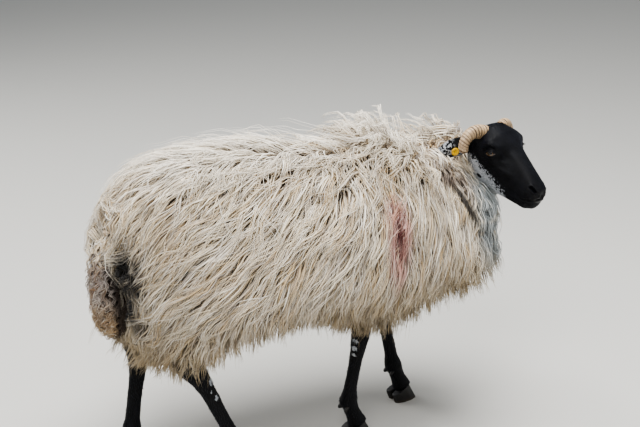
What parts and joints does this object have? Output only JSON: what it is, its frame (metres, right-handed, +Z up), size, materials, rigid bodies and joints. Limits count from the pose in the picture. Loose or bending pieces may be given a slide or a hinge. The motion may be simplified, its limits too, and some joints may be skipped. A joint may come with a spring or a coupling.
{
  "type": "sheep",
  "caption": "Life-size still model of a horned, black-faced hill ewe in full long fleece, walking with its head turned to its right.",
  "frame": {"origin": "middle of the model's box in plan, on the floor that the hooves stand on", "axes": "+X forward along the body, +Y to the animal's left, +Z up"},
  "size_m": [0.9554, 0.4816, 0.6966],
  "materials": {
    "fleece": "long cream wool in locks",
    "tail_wool": "short curly tan wool",
    "black_hair": "short flat black hair",
    "horn": "ridged horn, satin",
    "hoof": "dark hoof horn, satin",
    "eye": "wet, glossy",
    "tag": "yellow moulded plastic, satin"
  },
  "bodies": {
    "root": {"trunk": "fleece", "neck": "fleece", "head": "black_hair", "tail": "tail_wool", "ear_tag": "tag", "eye_right": "eye", "horn_right": "horn", "ear_right": "black_hair", "leg_front_right": "black_hair", "hoof_front_right_outer": "hoof", "hoof_front_right_inner": "hoof", "leg_hind_right": "black_hair", "hoof_hind_right_outer": "hoof", "hoof_hind_right_inner": "hoof", "eye_left": "eye", "horn_left": "horn", "ear_left": "black_hair", "leg_front_left": "black_hair", "hoof_front_left_outer": "hoof", "hoof_front_left_inner": "hoof", "leg_hind_left": "black_hair", "hoof_hind_left_outer": "hoof", "hoof_hind_left_inner": "hoof"}
  },
  "joints": []
}
